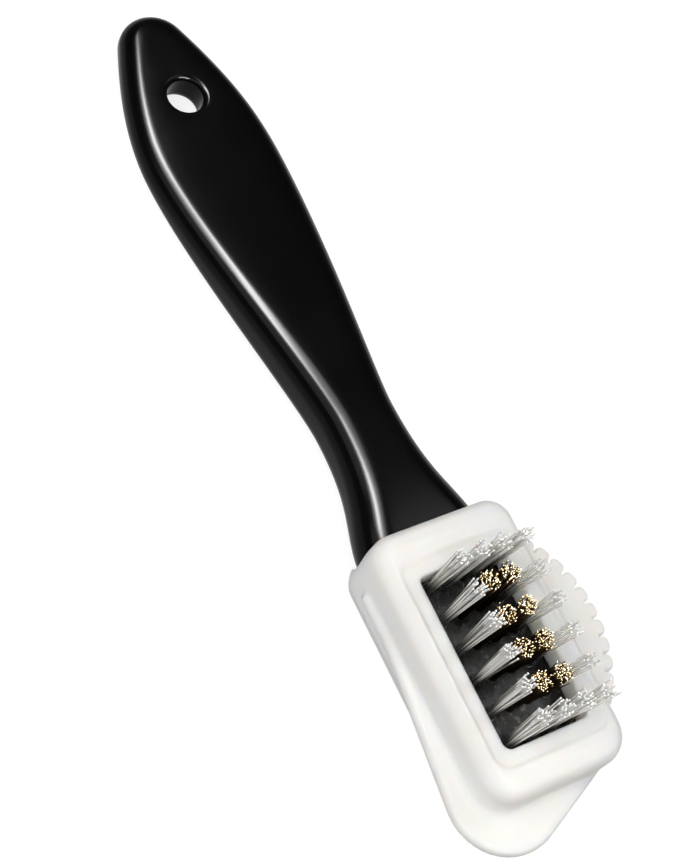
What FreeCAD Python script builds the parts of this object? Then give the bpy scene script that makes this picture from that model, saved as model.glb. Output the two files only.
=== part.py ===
import FreeCAD, Part
import math
import os
from FreeCAD import Vector

# Suede brush: a glossy handle moulded in one with its bristle block, a soft rubber sleeve
# stretched over the block, and nylon and brass tufts that stand in the sleeve's window, each
# folded round a flat metal anchor at the bottom of its hole.
#
# Frame, in millimetres: +X runs along the handle to the tip of the head, +Y points to the toothed
# side and +Z points out of the bristle face. The brush lies on its back. The origin is on the
# sleeve's flat back, under the middle of the window.

# Tuft pattern: rows run across the brush and columns along it.
TUFT_ROWS = 6
TUFT_COLUMNS = 4
ROW_PITCH = 5.8
COLUMN_PITCH = 3.85
TUFT_HOLE_RADIUS = 1.15
TUFT_HOLE_DEPTH = 7.5
TUFT_CLEARANCE = 0.05
NYLON_LENGTH = 16.4
NYLON_TIP_GAP = 0.25
NYLON_LEAN = 0.6
BRASS_LENGTH = 14.9
BRASS_TIP_GAP = 0.45

# Flat wire anchor that pins each tuft's fold and bites into the wall of its hole.
ANCHOR_BITE = 0.3
ANCHOR_THICKNESS = 0.3
ANCHOR_HEIGHT = 1.6
ANCHOR_FROM_BOTTOM = 0.6

# Bristle block, at the head end of the handle.
BLOCK_THICKNESS = 10.6
BLOCK_CORNER = 3.0

# Rubber sleeve: window, rims round it and walls round the block.
WINDOW_END_MARGIN = 0.4
WINDOW_SIDE_MARGIN = 1.75
WINDOW_CORNER = 1.4
WINDOW_EDGE_ROUND = 0.6
LIP_HEIGHT = 5.2
BORDER_WIDTH = 3.0
BORDER_CORNER = 3.0
CREST_RISE = 0.4
SIDE_RIM = 5.4
TIP_RIM = 8.3
REAR_RIM = 9.2
BACK_WALL = 2.4
SIDE_WALL = 1.5
TIP_WALL = 2.8
MOUTH_WALL = 1.8
SLEEVE_CLEARANCE = 0.2
SLEEVE_CORNER = 5.6
CREST_ROUND = 3.4
BELLY_ROUND = 4.6

# Flange round the sleeve: a smooth wing on one side and the tip, a toothed arc on the other side.
FLANGE_TOP = 9.5
FLANGE_THICKNESS = 2.8
FLANGE_EDGE_ROUND = 1.0
LEDGE_WIDTH = 0.7
WING_START = 15.2
WING_CORNER_BEYOND_TIP = 14.2
WING_CORNER_BEYOND_SIDE = 6.1
WING_ROUND = 10.5
WING_END = 3.6
TOOTH_COUNT = 11
TOOTH_PITCH = 3.4
TOOTH_RADIUS = 1.63
TOOTH_EDGE_ROUND = 0.5
TOOTH_NOTCH_DEPTH = 1.4
TOOTH_ARC_RADIUS = 24.5
TOOTH_REACH = 11.1
TOOTH_ARC_OFFSET = -1.6

# Handle, measured from its tail end or from the sleeve's mouth.
HANDLE_LENGTH = 111.9
NOSE_RADIUS = 6.8
NOSE_TAPER_DEGREES = 23.5
PALM_WIDTH = 26.7
PALM_FROM_TAIL = 32.4
WAIST_WIDTH = 14.5
WAIST_FROM_MOUTH = 23.6
TAIL_THICKNESS = 7.2
EDGE_ROUND = 3.2

# Hang hole near the tail, with a fuller rim at the back.
HANG_HOLE_RADIUS = 3.5
HANG_HOLE_FROM_TAIL = 18.8
HANG_HOLE_FACE_ROUND = 1.0
HANG_HOLE_BACK_ROUND = 2.4
HANG_HOLE_MARGIN = 1.6

# How far each handle of a plan or profile curve reaches along its stretch.
PLAN_REACH_AFTER_NOSE = 0.32
PLAN_REACH_BEFORE_PALM = 0.37
PLAN_REACH_AFTER_PALM = 0.3
PLAN_REACH_BEFORE_WAIST = 0.14
PLAN_REACH_AFTER_WAIST = 0.58
PLAN_REACH_BEFORE_BLOCK = 0.36
BACK_REACH_AFTER_TAIL = 0.35
BACK_REACH_BEFORE_MOUTH = 0.4
FACE_REACH_AFTER_TAIL = 0.21
FACE_REACH_BEFORE_MOUTH = 0.53

# The largest share of a wall, or of a corner's radius, that a rounding takes.
WALL_SHARE = 0.45
CORNER_SHARE = 0.9

# Cutting tools run this far past what they cut, and faces this close count as level.
BEYOND = 5.0
NEAR = 1e-4

# Places worked out from the sizes above.
TUFT_RADIUS = TUFT_HOLE_RADIUS - TUFT_CLEARANCE
TUFT_SPACING = min(ROW_PITCH, COLUMN_PITCH)
HOLE_HALF_SPAN_X = (TUFT_ROWS - 1) * ROW_PITCH / 2
HOLE_HALF_SPAN_Y = (TUFT_COLUMNS - 1) * COLUMN_PITCH / 2
WINDOW_HALF_X = HOLE_HALF_SPAN_X + TUFT_HOLE_RADIUS + WINDOW_END_MARGIN
WINDOW_HALF_Y = HOLE_HALF_SPAN_Y + TUFT_HOLE_RADIUS + WINDOW_SIDE_MARGIN
SLEEVE_HALF_Y = WINDOW_HALF_Y + SIDE_RIM
SLEEVE_TIP_X = WINDOW_HALF_X + TIP_RIM
MOUTH_X = -WINDOW_HALF_X - REAR_RIM
BLOCK_TOP = BACK_WALL + BLOCK_THICKNESS
BORDER_Z = BLOCK_TOP + LIP_HEIGHT
CREST_Z = BORDER_Z + CREST_RISE
BLOCK_HALF_Y = SLEEVE_HALF_Y - SIDE_WALL - SLEEVE_CLEARANCE
BLOCK_TIP_X = SLEEVE_TIP_X - TIP_WALL - SLEEVE_CLEARANCE
BLOCK_REAR_X = MOUTH_X + MOUTH_WALL + SLEEVE_CLEARANCE
HOLE_BOTTOM = BLOCK_TOP - TUFT_HOLE_DEPTH
FLANGE_BOTTOM = FLANGE_TOP - FLANGE_THICKNESS
TAIL_X = MOUTH_X - HANDLE_LENGTH
PALM_X = TAIL_X + PALM_FROM_TAIL
WAIST_X = MOUTH_X - WAIST_FROM_MOUTH
NECK_END_X = BLOCK_REAR_X + BLOCK_CORNER
HANG_HOLE_X = TAIL_X + HANG_HOLE_FROM_TAIL
TAIL_FLAT_X = HANG_HOLE_X + HANG_HOLE_RADIUS + HANG_HOLE_BACK_ROUND + HANG_HOLE_MARGIN


def box(low, high):
    """A box between two opposite corners."""
    size = [b - a for a, b in zip(low, high)]
    return Part.makeBox(size[0], size[1], size[2], Vector(*low))


def upright_edges(shape):
    """The edges of a shape that stand along Z."""
    return [e for e in shape.Edges if abs(e.BoundBox.ZLength - e.Length) < NEAR]


def level_edges(shape, height):
    """The edges of a shape that lie at one height."""
    low = height - NEAR
    high = height + NEAR
    return [e for e in shape.Edges if e.BoundBox.ZMin > low and e.BoundBox.ZMax < high]


def rounded_box(low, high, corner):
    """A box with its four upright edges rounded."""
    plain = box(low, high)
    return plain.makeFillet(corner, upright_edges(plain))


def prism(edges, bottom, top):
    """A closed outline in the XY plane, made solid between two heights."""
    face = Part.Face(Part.Wire(edges))
    face.translate(Vector(0, 0, bottom))
    return face.extrude(Vector(0, 0, top - bottom))


def line(start, end):
    """A straight edge."""
    return Part.makeLine(start, end)


def bezier(start, start_handle, end_handle, end):
    """A cubic curve from its two ends and two handles."""
    curve = Part.BezierCurve()
    curve.setPoles([start, start_handle, end_handle, end])
    return curve.toShape()


def tuft_places():
    """Row, column and the centre of each tuft hole on the block's face."""
    places = []
    for row in range(TUFT_ROWS):
        for column in range(TUFT_COLUMNS):
            x = -HOLE_HALF_SPAN_X + row * ROW_PITCH
            y = -HOLE_HALF_SPAN_Y + column * COLUMN_PITCH
            places.append((row, column, x, y))
    return places


def is_brass(row, column):
    """Brass tufts fill the middle columns of the middle rows."""
    return 0 < row < TUFT_ROWS - 1 and 0 < column < TUFT_COLUMNS - 1


def side_curve(side):
    """The handle's plan outline on one side, from the nose to inside the block."""
    taper = math.radians(NOSE_TAPER_DEGREES)
    along = Vector(math.cos(taper), side * math.sin(taper), 0)
    outward = Vector(-math.sin(taper), side * math.cos(taper), 0)
    nose = Vector(TAIL_X + NOSE_RADIUS, 0, 0) + outward * NOSE_RADIUS
    palm = Vector(PALM_X, side * PALM_WIDTH / 2, 0)
    waist = Vector(WAIST_X, side * WAIST_WIDTH / 2, 0)
    neck_end = Vector(NECK_END_X, side * BLOCK_HALF_Y, 0)
    to_palm = Vector(palm.x - nose.x, 0, 0)
    to_waist = Vector(waist.x - palm.x, 0, 0)
    to_block = Vector(neck_end.x - waist.x, 0, 0)
    after_nose = nose + along * (to_palm.x * PLAN_REACH_AFTER_NOSE)
    before_palm = palm - to_palm * PLAN_REACH_BEFORE_PALM
    after_palm = palm + to_waist * PLAN_REACH_AFTER_PALM
    before_waist = waist - to_waist * PLAN_REACH_BEFORE_WAIST
    after_waist = waist + to_block * PLAN_REACH_AFTER_WAIST
    before_block = neck_end - to_block * PLAN_REACH_BEFORE_BLOCK
    return [
        bezier(nose, after_nose, before_palm, palm),
        bezier(palm, after_palm, before_waist, waist),
        bezier(waist, after_waist, before_block, neck_end),
    ]


def handle_plan():
    """The handle's plan outline as an upright prism."""
    right = side_curve(1)
    left = side_curve(-1)
    right_start = right[0].Vertexes[0].Point
    left_start = left[0].Vertexes[0].Point
    nose_arc = Part.Arc(left_start, Vector(TAIL_X, 0, 0), right_start).toShape()
    end_line = line(right[-1].Vertexes[-1].Point, left[-1].Vertexes[-1].Point)
    outline = right + [end_line] + left[::-1] + [nose_arc]
    return prism(outline, -BEYOND, BLOCK_TOP + BEYOND)


def handle_profile():
    """The handle's side profile as a prism across the brush: thin at the tail, thick at the neck."""
    half_depth = max(PALM_WIDTH / 2, BLOCK_HALF_Y) + BEYOND
    start_x = TAIL_X - BEYOND
    rise = MOUTH_X - TAIL_FLAT_X

    def at(x, z):
        return Vector(x, -half_depth, z)

    back_tail = at(TAIL_FLAT_X, 0)
    back_mouth = at(MOUTH_X, BACK_WALL)
    back_tail_handle = at(TAIL_FLAT_X + BACK_REACH_AFTER_TAIL * rise, 0)
    back_mouth_handle = at(MOUTH_X - BACK_REACH_BEFORE_MOUTH * rise, BACK_WALL)
    face_tail = at(TAIL_FLAT_X, TAIL_THICKNESS)
    face_mouth = at(MOUTH_X, BLOCK_TOP)
    face_tail_handle = at(TAIL_FLAT_X + FACE_REACH_AFTER_TAIL * rise, TAIL_THICKNESS)
    face_mouth_handle = at(MOUTH_X - FACE_REACH_BEFORE_MOUTH * rise, BLOCK_TOP)
    profile = [
        line(at(start_x, 0), back_tail),
        bezier(back_tail, back_tail_handle, back_mouth_handle, back_mouth),
        line(back_mouth, at(NECK_END_X, BACK_WALL)),
        line(at(NECK_END_X, BACK_WALL), at(NECK_END_X, BLOCK_TOP)),
        line(at(NECK_END_X, BLOCK_TOP), face_mouth),
        bezier(face_mouth, face_mouth_handle, face_tail_handle, face_tail),
        line(face_tail, at(start_x, TAIL_THICKNESS)),
        line(at(start_x, TAIL_THICKNESS), at(start_x, 0)),
    ]
    return Part.Face(Part.Wire(profile)).extrude(Vector(0, 2 * half_depth, 0))


def edge_round():
    """The rounding of the handle's long edges, which the thin tail limits."""
    return min(EDGE_ROUND, WALL_SHARE * TAIL_THICKNESS)


def with_rounded_edges(blank):
    """The blank with every long edge rounded, except at the end inside the block."""
    upright = [e.hashCode() for e in upright_edges(blank)]
    chosen = []
    for edge in blank.Edges:
        at_end = edge.BoundBox.XMin > NECK_END_X - NEAR
        if edge.hashCode() not in upright and not at_end:
            chosen.append(edge)
    return blank.makeFillet(edge_round(), chosen)


def make_block():
    """The bristle block that the sleeve grips."""
    low = (BLOCK_REAR_X, -BLOCK_HALF_Y, BACK_WALL)
    high = (BLOCK_TIP_X, BLOCK_HALF_Y, BLOCK_TOP)
    return rounded_box(low, high, BLOCK_CORNER)


def make_anchor(x, y):
    """One flat anchor, across its hole and into the wall on both sides."""
    half = TUFT_HOLE_RADIUS + ANCHOR_BITE
    bottom = HOLE_BOTTOM + ANCHOR_FROM_BOTTOM
    low = (x - half, y - ANCHOR_THICKNESS / 2, bottom)
    high = (x + half, y + ANCHOR_THICKNESS / 2, bottom + ANCHOR_HEIGHT)
    return box(low, high)


def hang_hole_rim(body, height):
    """The edges of the hang hole's rim at one height."""
    rim = []
    for edge in level_edges(body, height):
        if isinstance(edge.Curve, Part.Circle) and abs(edge.Curve.Radius - HANG_HOLE_RADIUS) < NEAR:
            rim.append(edge)
    return rim


def with_hang_hole(body):
    """The handle with its hang hole, rounded at both rims."""
    start = Vector(HANG_HOLE_X, 0, -BEYOND)
    body = body.cut(Part.makeCylinder(HANG_HOLE_RADIUS, TAIL_THICKNESS + 2 * BEYOND, start))
    largest_round = WALL_SHARE * TAIL_THICKNESS
    body = body.makeFillet(min(HANG_HOLE_BACK_ROUND, largest_round), hang_hole_rim(body, 0))
    face_rim = hang_hole_rim(body, TAIL_THICKNESS)
    return body.makeFillet(min(HANG_HOLE_FACE_ROUND, largest_round), face_rim)


def make_handle(anchors):
    """Handle and block in one moulding, with the hang hole and the tuft holes."""
    body = with_rounded_edges(handle_plan().common(handle_profile()))
    body = with_hang_hole(body)
    body = body.fuse(make_block()).removeSplitter()
    holes = []
    for _, _, x, y in tuft_places():
        bottom = Vector(x, y, HOLE_BOTTOM)
        holes.append(Part.makeCylinder(TUFT_HOLE_RADIUS, TUFT_HOLE_DEPTH + BEYOND, bottom))
    return body.cut(holes + anchors)


def make_tuft(row, column, x, y, anchor):
    """One tuft: a shank in its hole and a spreading brush above the block's face."""
    brass = is_brass(row, column)
    length = BRASS_LENGTH if brass else NYLON_LENGTH
    tip_gap = BRASS_TIP_GAP if brass else NYLON_TIP_GAP
    outward = 0
    if column == 0:
        outward = -1
    if column == TUFT_COLUMNS - 1:
        outward = 1
    shank = Part.makeCylinder(TUFT_RADIUS, TUFT_HOLE_DEPTH, Vector(x, y, HOLE_BOTTOM))
    root = Part.Wire(Part.makeCircle(TUFT_RADIUS, Vector(x, y, BLOCK_TOP)))
    tip_centre = Vector(x, y + outward * NYLON_LEAN, BLOCK_TOP + length)
    tip = Part.Wire(Part.makeCircle((TUFT_SPACING - tip_gap) / 2, tip_centre))
    brush = Part.makeLoft([root, tip], True, True)
    return shank.fuse(brush).cut(anchor)


def rounded_corner(before, corner, after, radius):
    """The two ends and the middle of an arc that rounds one corner of an outline."""
    to_before = (before - corner).normalize()
    to_after = (after - corner).normalize()
    half_angle = to_before.getAngle(to_after) / 2
    reach = radius / math.tan(half_angle)
    inward = (to_before + to_after).normalize()
    centre = corner + inward * (radius / math.sin(half_angle))
    return corner + to_before * reach, centre - inward * radius, corner + to_after * reach


def make_wing():
    """The smooth wing: a narrow ledge along the side that widens to a rounded blade past the tip."""
    side_y = -SLEEVE_HALF_Y
    ledge_y = side_y - LEDGE_WIDTH
    inside = Vector(0, 0, 0)
    root = Vector(MOUTH_X + SLEEVE_CORNER, side_y + LEDGE_WIDTH, 0)
    ledge = Vector(MOUTH_X + SLEEVE_CORNER + 2 * LEDGE_WIDTH, ledge_y, 0)
    start = Vector(MOUTH_X + WING_START, ledge_y, 0)
    corner = Vector(SLEEVE_TIP_X + WING_CORNER_BEYOND_TIP, side_y - WING_CORNER_BEYOND_SIDE, 0)
    end = Vector(SLEEVE_TIP_X, SLEEVE_HALF_Y - WING_END, 0)
    arc_start, arc_middle, arc_end = rounded_corner(start, corner, end, WING_ROUND)
    outline = [
        line(inside, root),
        line(root, ledge),
        line(ledge, start),
        line(start, arc_start),
        Part.Arc(arc_start, arc_middle, arc_end).toShape(),
        line(arc_end, end),
        line(end, inside),
    ]
    plate = prism(outline, FLANGE_BOTTOM, FLANGE_TOP)
    outer = []
    for edge in level_edges(plate, FLANGE_BOTTOM) + level_edges(plate, FLANGE_TOP):
        middle = edge.valueAt((edge.FirstParameter + edge.LastParameter) / 2)
        past_side = middle.y < ledge_y - NEAR
        past_tip = middle.x > SLEEVE_TIP_X + NEAR
        if middle.x > start.x and (past_side or past_tip):
            outer.append(edge)
    return plate.makeFillet(min(FLANGE_EDGE_ROUND, WALL_SHARE * FLANGE_THICKNESS), outer)


def rounded_disc(radius, centre):
    """A flat disc of the flange's thickness with both rims rounded."""
    disc = Part.makeCylinder(radius, FLANGE_THICKNESS, centre)
    rims = level_edges(disc, FLANGE_BOTTOM) + level_edges(disc, FLANGE_TOP)
    return disc.makeFillet(min(TOOTH_EDGE_ROUND, WALL_SHARE * FLANGE_THICKNESS), rims)


def make_toothed_arc():
    """The toothed flange: an arc-edged plate with a row of rounded teeth along its rim."""
    centre_y = SLEEVE_HALF_Y + TOOTH_REACH - TOOTH_ARC_RADIUS
    centre = Vector(TOOTH_ARC_OFFSET, centre_y, FLANGE_BOTTOM)
    low = (MOUTH_X, SLEEVE_HALF_Y - SIDE_WALL / 2, FLANGE_BOTTOM)
    high = (SLEEVE_TIP_X, SLEEVE_HALF_Y + TOOTH_REACH, FLANGE_TOP)
    plate = rounded_disc(TOOTH_ARC_RADIUS - TOOTH_NOTCH_DEPTH, centre).common(box(low, high))
    row_radius = TOOTH_ARC_RADIUS - TOOTH_RADIUS
    teeth = []
    for number in range(TOOTH_COUNT):
        angle = (number - (TOOTH_COUNT - 1) / 2) * TOOTH_PITCH / TOOTH_ARC_RADIUS
        place = centre + Vector(row_radius * math.sin(angle), row_radius * math.cos(angle), 0)
        teeth.append(rounded_disc(TOOTH_RADIUS, place))
    return plate.fuse(teeth)


def with_window(body):
    """The sleeve's frame with its shallow border and the window, whose upper edge is rounded."""
    border_x = WINDOW_HALF_X + BORDER_WIDTH
    border_y = WINDOW_HALF_Y + BORDER_WIDTH
    border_high = (border_x, border_y, CREST_Z + BEYOND)
    border = rounded_box((-border_x, -border_y, BORDER_Z), border_high, BORDER_CORNER)
    window_low = (-WINDOW_HALF_X, -WINDOW_HALF_Y, BLOCK_TOP)
    window_high = (WINDOW_HALF_X, WINDOW_HALF_Y, BORDER_Z + BEYOND)
    window = rounded_box(window_low, window_high, WINDOW_CORNER)
    body = body.cut(border).cut(window)
    inner = []
    for edge in level_edges(body, BORDER_Z):
        middle = edge.CenterOfMass
        inside_x = abs(middle.x) < WINDOW_HALF_X + BORDER_WIDTH / 2
        inside_y = abs(middle.y) < WINDOW_HALF_Y + BORDER_WIDTH / 2
        if inside_x and inside_y:
            inner.append(edge)
    return body.makeFillet(WINDOW_EDGE_ROUND, inner)


def make_pocket():
    """The space in the sleeve for the block and, through the mouth, for the neck."""
    gap = SLEEVE_CLEARANCE
    half_y = BLOCK_HALF_Y + gap
    rear_x = BLOCK_REAR_X - gap
    low = (rear_x, -half_y, BACK_WALL)
    high = (BLOCK_TIP_X + gap, half_y, BLOCK_TOP)
    room = rounded_box(low, high, BLOCK_CORNER + gap)
    mouth = box((MOUTH_X - BEYOND, -half_y, BACK_WALL - gap), (rear_x, half_y, BLOCK_TOP + gap))
    lengthways = [e for e in mouth.Edges if abs(e.BoundBox.XLength - e.Length) < NEAR]
    return room, mouth.makeFillet(edge_round() + gap, lengthways)


def make_sleeve():
    """The rubber sleeve: rounded frame with its window, pocket and mouth, and the two flanges."""
    low = (MOUTH_X, -SLEEVE_HALF_Y, 0)
    high = (SLEEVE_TIP_X, SLEEVE_HALF_Y, CREST_Z)
    body = rounded_box(low, high, SLEEVE_CORNER)
    largest_round = CORNER_SHARE * SLEEVE_CORNER
    body = body.makeFillet(min(CREST_ROUND, largest_round), level_edges(body, CREST_Z))
    body = body.makeFillet(min(BELLY_ROUND, largest_round), level_edges(body, 0))
    body = body.fuse([make_wing(), make_toothed_arc()]).removeSplitter()
    room, mouth = make_pocket()
    return with_window(body).cut([room, mouth])


def write(name, shape):
    """Writes one node as a STEP file and prints what it holds."""
    shape.exportStep(os.path.join("parts", name + ".step"))
    print(name, "solids", len(shape.Solids), "volume", round(shape.Volume, 2), "valid", shape.isValid())


def main():
    os.makedirs("parts", exist_ok=True)
    anchors = {}
    for row, column, x, y in tuft_places():
        anchors[row, column] = make_anchor(x, y)
    write("handle", make_handle(list(anchors.values())))
    write("rubber_sleeve", make_sleeve())
    for row, column, x, y in tuft_places():
        kind = "brass" if is_brass(row, column) else "nylon"
        name = "{}_tuft_row{}_column{}".format(kind, row + 1, column + 1)
        write(name, make_tuft(row, column, x, y, anchors[row, column]))
    write("tuft_anchors", Part.makeCompound(list(anchors.values())))


main()
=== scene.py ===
# %% [markdown]
# This lesson dresses a suede brush that lies on its back with its bristles up: a glossy black handle,
# a soft ivory rubber sleeve over its head, and tufts of nylon and brass wire in the sleeve's window.
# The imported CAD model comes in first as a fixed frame, so every new piece is made where the CAD says.
# All lengths in Blender are metres, so sizes below are written in millimetres times MM.

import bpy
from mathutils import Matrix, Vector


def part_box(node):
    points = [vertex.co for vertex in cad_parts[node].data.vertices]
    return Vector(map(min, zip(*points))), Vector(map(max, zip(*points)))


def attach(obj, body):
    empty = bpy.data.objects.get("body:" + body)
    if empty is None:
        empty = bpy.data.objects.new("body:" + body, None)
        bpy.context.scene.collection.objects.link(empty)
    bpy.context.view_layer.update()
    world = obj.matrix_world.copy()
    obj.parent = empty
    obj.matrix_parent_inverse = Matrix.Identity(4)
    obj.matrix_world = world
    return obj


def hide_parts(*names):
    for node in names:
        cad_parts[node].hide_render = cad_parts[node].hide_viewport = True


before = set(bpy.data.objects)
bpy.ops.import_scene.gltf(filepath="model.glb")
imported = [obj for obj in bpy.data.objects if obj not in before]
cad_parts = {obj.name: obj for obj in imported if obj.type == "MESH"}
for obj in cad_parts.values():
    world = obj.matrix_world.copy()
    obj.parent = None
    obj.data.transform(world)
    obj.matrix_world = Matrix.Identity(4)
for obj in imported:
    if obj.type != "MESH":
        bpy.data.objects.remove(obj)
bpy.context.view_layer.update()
MM = 0.001

# %% [markdown]
# The camera looks down on the brush from the front and a little to its plain side. Its place and turn
# come from matching the CAD outline to the photograph, so the render can be laid over it.
# The sensor's width goes with the image's long side, which is why the lens is worked out from that side.

# %% Camera
import math
import bpy
from mathutils import Vector

scene = bpy.context.scene
scene.view_settings.view_transform = "Standard"
IMAGE_LONG_SIDE = 862
FOCAL_PIXELS = 2300
SENSOR_WIDTH = 36.0
CLIP_START = 0.01
CAMERA_PLACE = (0.0542, -0.19438, 0.34593)
CAMERA_TURN_DEGREES = (26.482, -19.722, 62.242)

camera_data = bpy.data.cameras.new("camera")
camera_data.sensor_width = SENSOR_WIDTH
camera_data.lens = SENSOR_WIDTH * FOCAL_PIXELS / IMAGE_LONG_SIDE
camera_data.clip_start = CLIP_START
camera = bpy.data.objects.new("camera", camera_data)
camera.location = CAMERA_PLACE
camera.rotation_euler = [math.radians(angle) for angle in CAMERA_TURN_DEGREES]
scene.collection.objects.link(camera)
scene.camera = camera
print("lens:", round(camera_data.lens, 2), "mm")

# %% [markdown]
# The floor is one big pale disc. A white studio sweep could be modelled, but a disc that adds a little
# light of its own for camera, glossy and transmission rays gives the same white ground, and the rest of
# its shade is ordinary diffuse light, so the brush keeps its soft shadow.

# %% Floor
import bmesh

FLOOR_RADIUS = 6.0
FLOOR_SIDES = 96
FLOOR_DROP = 0.02 * MM
FLOOR_COLOUR = (0.33, 0.33, 0.33, 1.0)
FLOOR_LIFT = 0.8


def add_object(name, shape):
    """Makes a linked mesh object from a bmesh and frees the bmesh."""
    mesh = bpy.data.meshes.new(name)
    shape.to_mesh(mesh)
    shape.free()
    made = bpy.data.objects.new(name, mesh)
    scene.collection.objects.link(made)
    return made


def node_tools(tree):
    """Empties a node tree, and returns a function that adds nodes to it and one that links them."""
    tree.nodes.clear()

    def add(kind, **values):
        node = tree.nodes.new(kind)
        for key, value in values.items():
            setattr(node, key, value)
        return node

    return add, tree.links.new


def new_material(name):
    """An empty node material with its two tools."""
    material = bpy.data.materials.new(name)
    material.use_nodes = True
    return material, *node_tools(material.node_tree)


def show(add, link, shader):
    """Sends a shader to its material's surface."""
    link(shader.outputs[0], add("ShaderNodeOutputMaterial").inputs["Surface"])


disc = bmesh.new()
bmesh.ops.create_circle(disc, cap_ends=True, segments=FLOOR_SIDES, radius=FLOOR_RADIUS)
bmesh.ops.translate(disc, verts=disc.verts, vec=(0, 0, -FLOOR_DROP))
floor = add_object("floor", disc)

floor_paint, add, link = new_material("floor_paint")
rays = add("ShaderNodeLightPath")
camera_or_gloss = add("ShaderNodeMath", operation="MAXIMUM")
link(rays.outputs["Is Camera Ray"], camera_or_gloss.inputs[0])
link(rays.outputs["Is Glossy Ray"], camera_or_gloss.inputs[1])
any_seen = add("ShaderNodeMath", operation="MAXIMUM")
link(camera_or_gloss.outputs[0], any_seen.inputs[0])
link(rays.outputs["Is Transmission Ray"], any_seen.inputs[1])
lift = add("ShaderNodeMath", operation="MULTIPLY")
lift.inputs[1].default_value = FLOOR_LIFT
link(any_seen.outputs[0], lift.inputs[0])
glow = add("ShaderNodeEmission")
link(lift.outputs[0], glow.inputs["Strength"])
matte = add("ShaderNodeBsdfDiffuse")
matte.inputs["Color"].default_value = FLOOR_COLOUR
both = add("ShaderNodeAddShader")
link(matte.outputs[0], both.inputs[0])
link(glow.outputs[0], both.inputs[1])
show(add, link, both)
floor.data.materials.append(floor_paint)
print("floor radius:", FLOOR_RADIUS, "m")

# %% [markdown]
# The light is a plain studio: a pale band round the horizon that fades to a dim ceiling, a long soft box
# beside the brush, and two smaller ones on its toothed side. Black gloss shows what it mirrors, so the
# ceiling over the handle's flat face stays dim, and a strip overhead draws the bright line along its
# shoulder. The strip is three boxes, each narrower and brighter than the last, so the line has soft edges.
# A box past the tip puts a glint on the hang hole's rim. Strip and glint are left out of diffuse light.
# Each box is given by its name, place, size, power and the direction that its first side runs in.

# %% Studio light
from mathutils import Matrix

WORLD_STOPS = [(0.0, 0.38), (0.15, 0.36), (0.35, 0.27), (0.6, 0.1), (1.0, 0.06)]
HORIZON_TINT = (1.0, 0.95, 0.89)
ALONG_X, ALONG_Y = Vector((1, 0, 0)), Vector((0, 1, 0))
SOFT_BOXES = [("key_box", Vector((0.05, -0.68, 0.9)), (0.85, 1.6), 12.6, ALONG_Y),
              ("back_box", Vector((-0.1, 0.68, 1.0)), (0.4, 0.5), 3.4, ALONG_X),
              ("side_box", Vector((0.45, 0.6, 0.85)), (0.6, 0.6), 1.8, ALONG_Y)]
GLINT_BOX = ("glint_box", Vector((0.8, 0.0, 0.62)), (0.8, 0.45), 80.0, ALONG_Y)
STRIP_PLACE = Vector((-0.56, -0.06, 1.0))
STRIP_ALONG = Vector((0.39, -0.92, 0.0))
STRIP_LAYERS = [((0.5, 0.1), 16.0), ((0.66, 0.24), 32.0), ((0.85, 0.52), 28.0)]
STRIP_GAP = Vector((0, 0, 0.01))
LIGHT_AIM = Vector((-0.05, 0.0, 0.0))


def ramp(add, link, factor, stops):
    """A colour ramp between (position, colour) stops."""
    node = add("ShaderNodeValToRGB")
    elements = node.color_ramp.elements
    while len(elements) < len(stops):
        elements.new(0.5)
    for element, (position, colour) in zip(elements, stops):
        element.position = position
        element.color = (*colour, 1.0)
    link(factor, node.inputs["Fac"])
    return node.outputs["Color"]


world = bpy.data.worlds.new("studio")
world.use_nodes = True
add, link = node_tools(world.node_tree)
upward = add("ShaderNodeSeparateXYZ")
link(add("ShaderNodeTexCoord").outputs["Generated"], upward.inputs[0])
sky_colours = [(up, [strength * tint for tint in HORIZON_TINT]) for up, strength in WORLD_STOPS]
studio_air = add("ShaderNodeBackground")
link(ramp(add, link, upward.outputs["Z"], sky_colours), studio_air.inputs["Color"])
link(studio_air.outputs[0], add("ShaderNodeOutputWorld").inputs["Surface"])
scene.world = world


def soft_box(name, place, size, power, along):
    """A rectangular lamp that faces the brush, with its first side along a direction."""
    data = bpy.data.lights.new(name, "AREA")
    data.shape = "RECTANGLE"
    data.size, data.size_y = size
    data.energy = power
    lamp = bpy.data.objects.new(name, data)
    away = (place - LIGHT_AIM).normalized()
    across = away.cross(along).normalized()
    turn = Matrix((across.cross(away), across, away)).transposed()
    lamp.matrix_world = Matrix.Translation(place) @ turn.to_4x4()
    scene.collection.objects.link(lamp)
    return lamp


for box in SOFT_BOXES:
    soft_box(*box)
shines = [soft_box(f"strip_box_{number}", STRIP_PLACE + STRIP_GAP * number, size, power, STRIP_ALONG)
          for number, (size, power) in enumerate(STRIP_LAYERS, 1)]
shines.append(soft_box(*GLINT_BOX))
for lamp in shines:
    lamp.visible_diffuse = False

# %% [markdown]
# The handle is one moulding of black plastic: a paddle that is widest in the palm, narrows to a waist
# and widens into the head. Its plan is drawn with three Bezier stretches and a round nose. The plan
# could be filled as one many-sided face, but a ladder of rungs keeps the shading of the long face calm.

# %% Handle outline
import numpy as np
from mathutils.geometry import interpolate_bezier

handle_low, handle_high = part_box("handle")
sleeve_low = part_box("rubber_sleeve")[0]
TAIL_X = handle_low.x
MOUTH_X = sleeve_low.x
BLOCK_TOP = handle_high.z
BLOCK_TIP_X = handle_high.x
PALM_HALF = handle_high.y
BLOCK_HALF = 12.375 * MM
WAIST_HALF = 7.25 * MM
PALM_X = TAIL_X + 32.4 * MM
WAIST_X = MOUTH_X - 23.6 * MM
NECK_INSIDE = 5.0 * MM
NOSE_RADIUS = 6.8 * MM
NOSE_TAPER = math.radians(23.5)
STRETCH_POINTS = 28

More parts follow.
